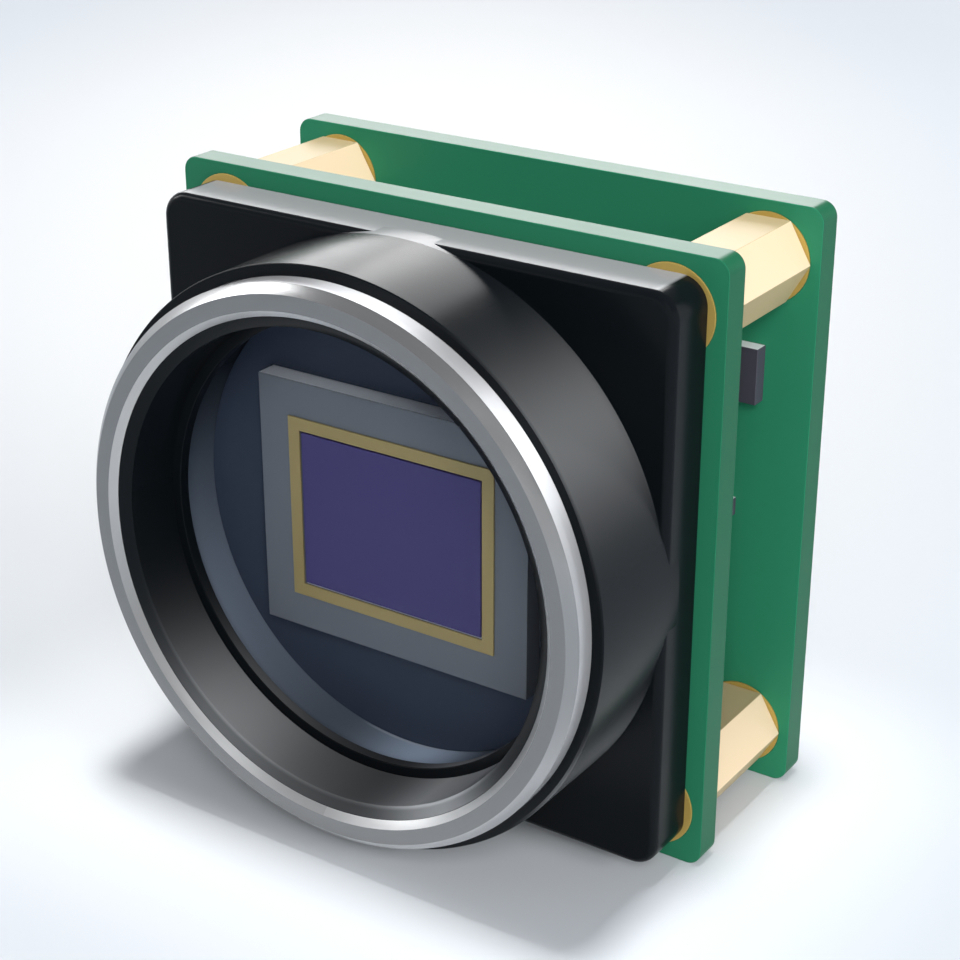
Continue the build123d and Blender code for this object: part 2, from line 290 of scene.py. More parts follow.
@dataclass
class Graph:
    """A node tree being wired up."""

    tree: NodeTree

    def add(self, kind: str, **settings: object) -> Node:
        """Adds a node and sets its properties.

        Args:
            kind: Blender's name of the node's type.
            settings: The properties and their values.

        Returns:
            The new node.
        """
        node = self.tree.nodes.new(kind)
        for key, value in settings.items():
            setattr(node, key, value)
        return node

    def wire(self, source: Socket, target: Socket) -> None:
        """Links an output to an input."""
        self.tree.links.new(source, target)

    def group(self, tree: NodeTree, **inputs: float) -> Node:
        """Places a shader node group.

        Args:
            tree: The group.
            inputs: Its number inputs and their values.

        Returns:
            The group's node.
        """
        node = self.add("ShaderNodeGroup", node_tree=tree)
        for key, value in inputs.items():
            node.inputs[key].default_value = value
        return node

    def math(self, operation: str, a: object, b: object = 0.0, clamp: bool = False) -> Socket:
        """One Math node on two inputs, each a number or a socket.

        Args:
            operation: Blender's name of the operation.
            a: First input.
            b: Second input.
            clamp: Keeps the result between 0 and 1.

        Returns:
            The result's socket.
        """
        node = self.add("ShaderNodeMath", operation=operation, use_clamp=clamp)
        for socket, value in zip(node.inputs, (a, b)):
            if isinstance(value, Socket):
                self.wire(value, socket)
            else:
                socket.default_value = value
        return node.outputs[0]

    def plus(self, a: object, b: object) -> Socket:
        """Sum of two inputs."""
        return self.math("ADD", a, b)

    def minus(self, a: object, b: object) -> Socket:
        """First input less the second."""
        return self.math("SUBTRACT", a, b)

    def times(self, a: object, *others: object) -> Socket:
        """Product of two or more inputs.

        Args:
            a: First input.
            others: The other inputs.

        Returns:
            The product's socket.
        """
        for other in others:
            a = self.math("MULTIPLY", a, other)
        return a

    def above(self, a: object, b: object) -> Socket:
        """1 where the first input is greater than the second, else 0."""
        return self.math("GREATER_THAN", a, b)

    def below(self, a: object, b: object) -> Socket:
        """1 where the first input is less than the second, else 0."""
        return self.math("LESS_THAN", a, b)

    def length(self, a: object, b: object) -> Socket:
        """Square root of a a + b b."""
        return self.math("SQRT", self.plus(self.times(a, a), self.times(b, b)))

    def fade(self, value: Socket, low: float, high: float) -> Socket:
        """0 below low, 1 above high and a smooth step between them.

        Args:
            value: The input.
            low: Where the step starts.
            high: Where it ends.

        Returns:
            The step's socket.
        """
        node = self.add("ShaderNodeMapRange", interpolation_type="SMOOTHSTEP")
        self.wire(value, node.inputs["Value"])
        node.inputs["From Min"].default_value = low
        node.inputs["From Max"].default_value = high
        return node.outputs[0]

    def bells(self, bearing: Socket, base: float, bells: tuple[Bell, ...], zone: Socket) -> Socket:
        """A base plus bell curves peak exp(-((bearing - centre) / width)^2), kept to a zone.

        Args:
            bearing: The angle about the optical axis.
            base: The value between the bells.
            bells: The bell curves.
            zone: A mask that is 1 in the zone and 0 elsewhere.

        Returns:
            The result, between 0 and 1.
        """
        total: object = base
        for bell in bells:
            t = self.math("DIVIDE", self.minus(bearing, bell.centre), bell.width)
            curve = self.math("EXPONENT", self.times(t, t, -1.0))
            total = self.plus(total, self.times(curve, bell.peak))
        return self.math("MULTIPLY", total, zone, clamp=True)

    def axes(self, output: str = "Object") -> tuple[Socket, Socket, Socket]:
        """The x, y and z of an output of Texture Coordinate.

        Args:
            output: Object or Normal.

        Returns:
            The three sockets.
        """
        place = self.add("ShaderNodeTexCoord")
        split = self.add("ShaderNodeSeparateXYZ")
        self.wire(place.outputs[output], split.inputs[0])
        x, y, z = split.outputs
        return x, y, z

    def mixed(self, a: Colour | Socket, b: Colour | Socket, mask: Socket) -> Socket:
        """Mixes two colours, each written out or a socket.

        Args:
            a: The colour where the mask is 0.
            b: The colour where the mask is 1.
            mask: A value between 0 and 1.

        Returns:
            The mixed colour's socket.
        """
        mix = self.add("ShaderNodeMix", data_type="RGBA")
        for key, value in (("A", a), ("B", b)):
            if isinstance(value, Socket):
                self.wire(value, mix.inputs[key])
            else:
                mix.inputs[key].default_value = (*value, 1)
        self.wire(mask, mix.inputs["Factor"])
        return mix.outputs["Result"]


def new_group(
    name: str, inputs: dict[str, float], outputs: tuple[str, ...]
) -> tuple[Graph, Node, Node]:
    """Starts a shader node group with named number inputs and number outputs.

    Args:
        name: Name of the group.
        inputs: Each input's name and its usual value.
        outputs: Names of the outputs.

    Returns:
        The group's graph, its input node and its output node.
    """
    tree = bpy.data.node_groups.new(name, "ShaderNodeTree")
    for key, value in inputs.items():
        socket = tree.interface.new_socket(key, in_out="INPUT", socket_type="NodeSocketFloat")
        socket.default_value = value
    for key in outputs:
        tree.interface.new_socket(key, in_out="OUTPUT", socket_type="NodeSocketFloat")
    graph = Graph(tree)
    return graph, graph.add("NodeGroupInput"), graph.add("NodeGroupOutput")


def surface_grain_group() -> NodeTree:
    """Fine grain of a moulded, fired or sawn surface: a mask from two sizes of noise.

    Grain = noise at Scale; Drift = slow noise at a fortieth of Scale, for uneven gloss.

    Returns:
        The node group.
    """
    graph, given, result = new_group("surface_grain", {"Scale": 9000.0}, ("Grain", "Drift"))
    place = graph.add("ShaderNodeTexCoord")
    for output, share, detail in (("Grain", 1.0, 3.0), ("Drift", 1 / 40, 2.0)):
        noise = graph.add("ShaderNodeTexNoise")
        noise.inputs["Detail"].default_value = detail
        graph.wire(place.outputs["Object"], noise.inputs["Vector"])
        graph.wire(graph.times(given.outputs["Scale"], share), noise.inputs["Scale"])
        graph.wire(noise.outputs["Fac"], result.inputs[output])
    return graph.tree


def turned_marks_group() -> NodeTree:
    """Tool marks of a lathe round the optical axis.

    The marks are a noise of one number, radius + depth with radius = sqrt(x x + z z), so they are
    rings on the faces and hoops on the walls.

    Returns:
        The node group.
    """
    graph, given, result = new_group("turned_marks", {"Scale": 9000.0}, ("Marks",))
    x, y, z = graph.axes()
    noise = graph.add("ShaderNodeTexNoise", noise_dimensions="1D")
    noise.inputs["Detail"].default_value = 4.0
    noise.inputs["Scale"].default_value = 1.0
    reach = graph.plus(graph.length(x, z), y)
    graph.wire(graph.times(reach, given.outputs["Scale"]), noise.inputs["W"])
    graph.wire(noise.outputs["Fac"], result.inputs["Marks"])
    return graph.tree


def track_pattern_group() -> NodeTree:
    """Copper tracks under a board's green mask: a mask that is 1 over copper.

    Tracks are even stripes across and up. Square cells of a Voronoi texture pick which areas
    carry them and which of the two ways they run.

    Returns:
        The node group.
    """
    # Stripe pitch, copper's share of it, a shift past zero and the scale of the areas.
    pitch, width, shift, cell_scale = 0.6 * MM, 0.42, 0.1, 210.0
    graph, given, result = new_group("track_pattern", {"Share": 0.5}, ("Copper",))
    place = graph.add("ShaderNodeTexCoord")
    x, _, z = graph.axes()
    turns = (graph.math("DIVIDE", graph.plus(axis, shift), pitch) for axis in (x, z))
    across, up = (graph.below(graph.math("FRACT", turn), width) for turn in turns)
    cells = graph.add("ShaderNodeTexVoronoi", distance="CHEBYCHEV")
    cells.inputs["Scale"].default_value = cell_scale
    graph.wire(place.outputs["Object"], cells.inputs["Vector"])
    tone = graph.add("ShaderNodeSeparateColor")
    graph.wire(cells.outputs["Color"], tone.inputs[0])
    upright = graph.above(tone.outputs[0], 0.5)
    used = graph.below(tone.outputs[1], given.outputs["Share"])
    chosen = graph.plus(graph.times(across, upright), graph.times(up, graph.minus(1.0, upright)))
    graph.wire(graph.times(chosen, used), result.inputs["Copper"])
    return graph.tree


@dataclass(frozen=True)
class HolderHighlights:
    """Radii, depths and bands of the highlights painted on the lens holder about the optical axis.
    """

    barrel_from: float = 14.95 * MM
    plate_from: float = 7.1 * MM
    wall_from: float = 12.2 * MM
    mouth_from: float = 12.3 * MM
    mouth_to: float = 12.5 * MM
    mouth_fall: float = 0.5
    throat_to: float = 12.9 * MM
    throat_end: float = 3.75 * MM
    lip_to: float = 11.8 * MM
    lip_from: float = 3.86 * MM
    lip_share: float = 0.4
    cavity_to: float = 12.7 * MM
    cavity_from: float = 4.42 * MM
    # Bells over the bearing where highlights are painted: on the barrel, the bore and the cavity
    # wall behind the filter.
    barrel: tuple[Bell, ...] = (Bell(2.22, 0.25, 0.85), Bell(1.03, 0.16, 1.05))
    bore: tuple[Bell, ...] = (
        Bell(0.56, 0.25, 1.25),
        Bell(-0.54, 0.36, 0.44),
        Bell(0.0, 0.25, 0.13),
    )
    cavity: tuple[Bell, ...] = (Bell(-0.94, 0.80, 0.33), Bell(0.14, 0.24, 0.9))

    def group(self) -> NodeTree:
        """Masks of the painted highlights.

        With radius = sqrt(x x + z z) and bearing = atan2(x, -z), 0 at the bottom: Barrel is soft
        bands of painted highlight on the barrel's outside, Bore is painted highlight on the bore's
        wall and, weaker, on its mouth and the ledge's lip, and Cavity is painted light on the wall
        behind the filter. Plate is the square plate.

        Returns:
            The node group.
        """
        graph, _, result = new_group("holder_highlights", {}, ("Barrel", "Bore", "Cavity", "Plate"))
        x, y, z = graph.axes()
        radius = graph.length(x, z)
        bearing = graph.math("ARCTAN2", x, graph.times(z, -1.0))
        behind = graph.above(y, self.cavity_from)
        wall = graph.times(graph.above(radius, self.wall_from), graph.minus(1.0, behind))
        fall = graph.times(graph.fade(radius, self.mouth_from, self.mouth_to), self.mouth_fall)
        throat = graph.times(
            graph.below(radius, self.throat_to),
            wall,
            graph.minus(1.0, fall),
            graph.below(y, self.throat_end),
        )
        lip = graph.times(
            graph.below(radius, self.lip_to), graph.above(y, self.lip_from), self.lip_share
        )
        outside = graph.times(
            graph.above(radius, self.barrel_from), graph.below(y, self.plate_from)
        )
        inside = graph.times(graph.below(radius, self.cavity_to), behind)
        for name, zone, bells in (
            ("Barrel", outside, self.barrel),
            ("Bore", graph.plus(throat, lip), self.bore),
            ("Cavity", inside, self.cavity),
        ):
            graph.wire(graph.bells(bearing, 0.0, bells, zone), result.inputs[name])
        graph.wire(graph.above(y, self.plate_from), result.inputs["Plate"])
        return graph.tree


@dataclass(frozen=True)
class RingHighlights:
    """Limits and bands of the highlights painted on the flange ring's cut faces and outer wall; a
    slope is the size of the normal's y.
    """

    cut_slope_from: float = 0.4
    cut_slope_to: float = 0.9
    side_slope_to: float = 0.2
    inner_to: float = 13.4 * MM
    side_from: float = 14.3 * MM
    outer_base: float = 0.09
    inner_base: float = 0.26
    side_base: float = 0.25
    outer: tuple[Bell, ...] = (
        Bell(-0.42, 0.22, 0.27),
        Bell(2.85, 0.62, 0.85),
        Bell(-3.433, 0.62, 0.85),
        Bell(-1.35, 0.42, -0.09),
    )
    inner: tuple[Bell, ...] = (
        Bell(2.72, 0.25, 0.78),
        Bell(-2.65, 0.20, 0.18),
        Bell(-2.02, 0.36, -0.17),
        Bell(-1.10, 0.50, 0.03),
        Bell(0.0, 0.34, 0.30),
        Bell(0.70, 0.25, 0.12),
        Bell(1.45, 0.42, 0.22),
    )
    side: tuple[Bell, ...] = (Bell(0.20, 0.18, 0.65), Bell(0.89, 0.19, 0.65))

    def group(self) -> NodeTree:
        """Masks of the painted highlights on the cut faces and outer wall.

        With radius = sqrt(x x + z z) and bearing = atan2(x, z), 0 at the top: Outer and Inner are
        the chamfers, Side is the outer wall. Each has a base of painted highlight, and bell curves
        over the bearing where painted glints are brighter, or darker where a peak is below zero.

        Returns:
            The node group.
        """
        graph, _, result = new_group("ring_highlights", {}, ("Outer", "Inner", "Side"))
        x, _, z = graph.axes()
        radius = graph.length(x, z)
        bearing = graph.math("ARCTAN2", x, z)
        slope = graph.math("ABSOLUTE", graph.axes("Normal")[1])
        cut = graph.times(
            graph.above(slope, self.cut_slope_from), graph.below(slope, self.cut_slope_to)
        )
        near = graph.below(radius, self.inner_to)
        wall = graph.times(
            graph.below(slope, self.side_slope_to), graph.above(radius, self.side_from)
        )
        for name, zone, base, bells in (
            ("Outer", graph.times(cut, graph.minus(1.0, near)), self.outer_base, self.outer),
            ("Inner", graph.times(cut, near), self.inner_base, self.inner),
            ("Side", wall, self.side_base, self.side),
        ):
            graph.wire(graph.bells(bearing, base, bells, zone), result.inputs[name])
        return graph.tree


def facing_group(name: str, way: Pair, low: float, high: float) -> NodeTree:
    """Mask of the faces that look a way: Facing is a smooth step of a x + b z of the normal.

    Args:
        name: Name of the group.
        way: The numbers a and b.
        low: Where the step starts.
        high: Where it ends.

    Returns:
        The node group.
    """
    graph, _, result = new_group(name, {}, ("Facing",))
    x, _, z = graph.axes("Normal")
    lean = graph.plus(graph.times(x, way[0]), graph.times(z, way[1]))
    graph.wire(graph.fade(lean, low, high), result.inputs["Facing"])
    return graph.tree


def top_highlight_group() -> NodeTree:
    """Mask of the faces that look straight up, where a pale highlight is painted."""
    return facing_group("top_highlight_mask", (0.0, 1.0), 0.97, 0.999)


def flat_highlight_group() -> NodeTree:
    """Mask of the flats that look up and to the right, where a highlight is painted."""
    return facing_group("flat_highlight_mask", (0.87, 0.5), 0.90, 0.98)


@dataclass(frozen=True)
class Groups:
    """The shader node groups that the finishes place."""

    grain: NodeTree = field(default_factory=surface_grain_group)
    turned: NodeTree = field(default_factory=turned_marks_group)
    tracks: NodeTree = field(default_factory=track_pattern_group)
    # Bands of highlight painted on the lens holder.
    holder: NodeTree = field(default_factory=lambda: HolderHighlights().group())
    # Pale highlight painted on faces that look up.
    top_highlight: NodeTree = field(default_factory=top_highlight_group)
    # Bands of highlight painted on the flange ring.
    ring: NodeTree = field(default_factory=lambda: RingHighlights().group())
    # Highlight painted on flats that look up and right.
    flats: NodeTree = field(default_factory=flat_highlight_group)


# Finishes


@dataclass
class Surface(Graph):
    """The graph of a material, with its Principled BSDF wired to the output."""

    shader: Node = field(init=False)
    output: Node = field(init=False)

    def __post_init__(self) -> None:
        """Clears the tree and adds the two nodes."""
        self.tree.nodes.clear()
        self.shader = self.add("ShaderNodeBsdfPrincipled")
        self.output = self.add("ShaderNodeOutputMaterial")
        self.wire(self.shader.outputs[0], self.output.inputs["Surface"])

    def hold(self, **values: float | Colour) -> None:
        """Sets the shader's own sockets.

        Args:
            values: Numbers or colours, by the socket's name with _ for a space.
        """
        for key, value in values.items():
            constant = (*value, 1) if isinstance(value, tuple) else value
            self.shader.inputs[key.replace("_", " ")].default_value = constant

    def feed(self, name: str, value: Socket) -> None:
        """Links a value to one of the shader's sockets."""
        self.wire(value, self.shader.inputs[name])

    def tone_over(self, tone: Colour, mask: Socket) -> None:
        """Mixes a tone over the base colour.

        Args:
            tone: The colour where the mask is 1.
            mask: A value between 0 and 1.
        """
        base = self.shader.inputs["Base Color"]
        under = base.links[0].from_socket if base.is_linked else tuple(base.default_value)[:3]
        self.wire(self.mixed(under, tone, mask), base)


def new_material(name: str) -> tuple[Material, Surface]:
    """Starts a material.

    Args:
        name: Name of the material.

    Returns:
        The material and its surface.
    """
    material = bpy.data.materials.new(name)
    material.use_nodes = True
    return material, Surface(material.node_tree)


@dataclass(frozen=True)
class Finish:
    """A plain finish: one colour with a fine grain in its shade, gloss and height."""

    name: str
    colour: Colour
    roughness: float
    metallic: float = 0.0
    ior: float = 1.45
    grain_scale: float = 9000.0
    grain_height: float = 0.0
    shade_swing: float = 0.06
    gloss_swing: float = 0.08
    # Share and colour of a pale highlight painted on faces that look up.
    top_highlight: float = 0.0
    top_highlight_colour: Colour = (0.62, 0.63, 0.65)
    # Highlight painted on flats that look up and to the right, if any.
    flat_highlight: Colour | None = None

    def make(self, groups: Groups) -> Material:
        """Builds the material.

        Args:
            groups: The shared node groups.

        Returns:
            The finished material.
        """
        material, surface = new_material(self.name)
        surface.hold(Base_Color=self.colour, Metallic=self.metallic, IOR=self.ior)
        self.dress(surface, groups)
        return material

    def dress(self, surface: Surface, groups: Groups) -> None:
        """Wires up the colour, gloss and relief.

        Args:
            surface: The material's surface.
            groups: The shared node groups.
        """
        grain = surface.group(groups.grain, Scale=self.grain_scale).outputs
        self.shade(surface, grain["Drift"])
        # Painted highlight on faces that look up.
        self.paint_top_highlight(surface, groups)
        # Painted highlight on the flats that look up and right.
        if self.flat_highlight:
            surface.tone_over(self.flat_highlight, surface.group(groups.flats).outputs["Facing"])
        self.texture(surface, grain["Drift"], grain["Grain"])

    def shade(self, surface: Surface, mask: Socket) -> None:
        """Lets a mask swing the base colour between a darker and a lighter tone.

        Args:
            surface: The material's surface.
            mask: A value between 0 and 1.
        """
        low = tuple(c * (1 - self.shade_swing) for c in self.colour)
        high = tuple(min(c * (1 + self.shade_swing), 1.0) for c in self.colour)
        surface.feed("Base Color", surface.mixed(low, high, mask))

    def paint_top_highlight(self, surface: Surface, groups: Groups, where: object = 1.0) -> None:
        """Lays settled dust over the base colour.

        Args:
            surface: The material's surface.
            groups: The shared node groups.
            where: A mask that keeps the painted highlight to part of the surface.
        """
        if self.top_highlight:
            upward = surface.group(groups.top_highlight).outputs["Facing"]
            surface.tone_over(self.top_highlight_colour, surface.times(upward, self.top_highlight, where))

    def texture(self, surface: Surface, gloss: Socket, height: Socket) -> None:
        """Roughness = roughness + gloss_swing (gloss - 0.5); relief = grain_height times height.

        Args:
            surface: The material's surface.
            gloss: A mask for the roughness.
            height: A mask for the relief.
        """
        swing = surface.times(surface.minus(gloss, 0.5), self.gloss_swing)
        surface.feed("Roughness", surface.math("ADD", swing, self.roughness, clamp=True))
        if self.grain_height:
            bump = surface.add("ShaderNodeBump")
            bump.inputs["Strength"].default_value = 1.0
            bump.inputs["Distance"].default_value = self.grain_height
            surface.wire(height, bump.inputs["Height"])
            surface.feed("Normal", bump.outputs["Normal"])


@dataclass(frozen=True)
class TurnedMetal(Finish):
    """Metal with the marks of a lathe about the optical axis, and painted highlights on its finer
    cut chamfers and outer wall.
    """

    # Tones of the highlights painted on the chamfers and the outer wall.
    outer_highlight: Colour = (0.80, 0.80, 0.81)
    inner_highlight: Colour = (0.90, 0.90, 0.90)
    side_highlight: Colour = (0.86, 0.87, 0.90)
    matt_gain: float = 2.0

    def dress(self, surface: Surface, groups: Groups) -> None:
        """Lets the marks drive tone, gloss and relief, and the zones paint highlights on the cut
        faces and outer wall.

        Args:
            surface: The material's surface.
            groups: The shared node groups.
        """
        marks = surface.group(groups.turned, Scale=self.grain_scale).outputs["Marks"]
        self.shade(surface, marks)
        zones = surface.group(groups.ring).outputs
        surface.tone_over(self.outer_highlight, zones["Outer"])
        surface.tone_over(self.inner_highlight, zones["Inner"])
        surface.tone_over(self.side_highlight, zones["Side"])
        # Less metallic where highlights are painted on the inner chamfer and outer wall.
        matt = surface.math("MAXIMUM", zones["Inner"], zones["Side"])
        bare = surface.math("SUBTRACT", 1.0, surface.times(matt, self.matt_gain), clamp=True)
        surface.feed("Metallic", surface.times(bare, self.metallic))
        self.texture(surface, marks, marks)


@dataclass(frozen=True)
class HolderPlastic(Finish):
    """Black moulded plastic with painted highlights in bands round the optical axis."""

    # Tones of the highlights and light painted on the barrel, the bore and the cavity wall.
    barrel_highlight: Colour = (0.11, 0.113, 0.116)
    bore_highlight: Colour = (0.52, 0.53, 0.54)
    cavity_highlight: Colour = (0.54, 0.62, 0.73)

    def dress(self, surface: Surface, groups: Groups) -> None:
        """Lets each zone's mask mix in its painted highlight.

        Args:
            surface: The material's surface.
            groups: The shared node groups.
        """
        grain = surface.group(groups.grain, Scale=self.grain_scale).outputs
        self.texture(surface, grain["Drift"], grain["Grain"])
        zones = surface.group(groups.holder).outputs
        surface.tone_over(self.barrel_highlight, zones["Barrel"])
        surface.tone_over(self.bore_highlight, zones["Bore"])
        surface.tone_over(self.cavity_highlight, zones["Cavity"])
        # Pale highlight painted on the plate's faces that look up.
        self.paint_top_highlight(surface, groups, zones["Plate"])


@dataclass(frozen=True)
class SolderMask(Finish):
    """Green solder mask over laminate, with copper tracks showing through on the back."""

    # Darker green painted on the board's edges as shade.
    edge_shade_colour: Colour = (0.010, 0.112, 0.053)
    track_colour: Colour = (0.05, 0.26, 0.15)
    track_share: float = 0.0

    def dress(self, surface: Surface, groups: Groups) -> None:
        """Shows tracks on the board's back and a darker painted shade on its edges.

        Args:
            surface: The material's surface.
            groups: The shared node groups.
        """
        grain = surface.group(groups.grain, Scale=self.grain_scale).outputs
        copper = surface.group(groups.tracks, Share=self.track_share).outputs["Copper"]
        lean = surface.axes("Normal")[1]
        shown = surface.times(copper, surface.above(lean, 0.5))
        surface.tone_over(self.track_colour, shown)
        edge = surface.below(surface.math("ABSOLUTE", lean), 0.5)
        surface.tone_over(self.edge_shade_colour, edge)
        # Faint highlight painted on faces that look up.
        self.paint_top_highlight(surface, groups)
        self.texture(surface, grain["Drift"], shown)


@dataclass(frozen=True)
class FilterGlass(Finish):
    """Bluish infrared-cut glass that lets the lamps' light through."""

    shadow_tint: Colour = (0.97, 0.98, 1.0)

    def dress(self, surface: Surface, groups: Groups) -> None:
        """Makes it glass to the eye and a tinted clear film to light and shadow.

        Args:
            surface: The material's surface.
            groups: The shared node groups, of which it needs none.
        """
        surface.hold(Roughness=self.roughness, Transmission_Weight=1.0)
        clear = surface.add("ShaderNodeBsdfTransparent")
        clear.inputs["Color"].default_value = (*self.shadow_tint, 1)
        rays = surface.add("ShaderNodeLightPath").outputs
        both = surface.math("ADD", rays["Is Shadow Ray"], rays["Is Diffuse Ray"], clamp=True)
        mix = surface.add("ShaderNodeMixShader")
        for k, source in enumerate((both, surface.shader.outputs[0], clear.outputs[0])):
            surface.wire(source, mix.inputs[k])
        surface.wire(mix.outputs[0], surface.output.inputs["Surface"])


# Its plate's top carries a pale painted highlight.
BLACK_PLASTIC = HolderPlastic(
    "black_moulded_plastic", (0.0045, 0.006, 0.0075), 0.22,
    ior=1.18, grain_scale=16000, grain_height=0.0008 * MM, top_highlight=0.42,
)
FLANGE_METAL = TurnedMetal(
    "turned_flange_metal", (0.232, 0.234, 0.236), 0.25, 0.75,
    grain_scale=14000, grain_height=0.0004 * MM,
)
FILTER_GLASS = FilterGlass("infrared_cut_glass", (0.88, 0.92, 0.97), 0.0, ior=1.02)
SEAL_RUBBER = Finish("seal_rubber", (0.040, 0.050, 0.072), 0.6, ior=1.3)
# Its top carries a white painted highlight.
CERAMIC = Finish(
    "fired_ceramic", (0.138, 0.145, 0.153), 0.55,
    grain_scale=14000, shade_swing=0.03, top_highlight=1.0, top_highlight_colour=(1.0, 1.0, 1.0),
)
GOLD = Finish("gold_plating", (0.56, 0.39, 0.10), 0.42, 0.30, grain_scale=12000)
FRAME_GOLD = Finish("frame_gold", (0.36, 0.265, 0.10), 0.4, 0.25, grain_scale=12000)
SILICON = Finish("coated_silicon", (0.060, 0.047, 0.148), 0.35, ior=1.3, shade_swing=0.02)
# Its flats that look up and right carry a painted highlight.
BRASS = Finish(
    "machined_brass", (0.48, 0.38, 0.215), 0.38, 0.05,
    ior=1.2, grain_scale=11000, grain_height=0.0003 * MM, flat_highlight=(0.76, 0.60, 0.40),
)
SCREW_STEEL = Finish("zinc_plated_steel", (0.55, 0.56, 0.58), 0.3, 1.0, grain_height=0.0006 * MM)
# Chip tops carry a pale painted highlight.
CHIP_EPOXY = Finish(
    "chip_epoxy", (0.062, 0.058, 0.078), 0.5,
    ior=1.4, grain_scale=14000, grain_height=0.001 * MM, top_highlight=1.0, top_highlight_colour=(0.90, 0.92, 0.95),
)
CONNECTOR_PLASTIC = Finish("connector_plastic", (0.03, 0.03, 0.032), 0.42, grain_height=0.001 * MM)
HEADER_PLASTIC = Finish("header_plastic", (0.72, 0.69, 0.60), 0.42, grain_height=0.001 * MM)
TIN = Finish("tin_plate", (0.66, 0.66, 0.66), 0.32, 1.0, grain_height=0.0008 * MM)
CAPACITOR = Finish("capacitor_ceramic", (0.34, 0.22, 0.13), 0.45)
RESISTOR = Finish("resistor_glaze", (0.02, 0.02, 0.022), 0.25)
FERRITE = Finish("sintered_ferrite", (0.10, 0.10, 0.105), 0.6, grain_height=0.003 * MM)
LID_METAL = Finish("seam_welded_lid", (0.70, 0.69, 0.66), 0.28, 1.0)
PRINT_WHITE = Finish("board_print", (0.78, 0.80, 0.78), 0.6)
# Board tops carry a faint painted highlight.
BOARD_PLAIN = SolderMask("board_green", (0.025, 0.205, 0.106), 0.34, ior=1.18, top_highlight=0.10)
# Rear board: the same green painted lighter, as light in the shaded gap between the boards, with
# tracks and a faint painted highlight on its top.
BOARD_TRACKED_PAINTED_LIGHT = SolderMask(
    "rear_board_green_painted_lighter", (0.031, 0.252, 0.133), 0.34,
    ior=1.18, grain_height=0.012 * MM, top_highlight=0.12, track_share=0.55,
)


@dataclass
class Palette:
    """Makes each finish's material once."""

    groups: Groups
    made: dict[str, Material] = field(default_factory=dict)

    def __getitem__(self, finish: Finish) -> Material:
        """The material of a finish.

        Args:
            finish: The finish.

        Returns:
            Its material.
        """
        if finish.name not in self.made:
            self.made[finish.name] = finish.make(self.groups)
        return self.made[finish.name]


# The module's sub-assemblies


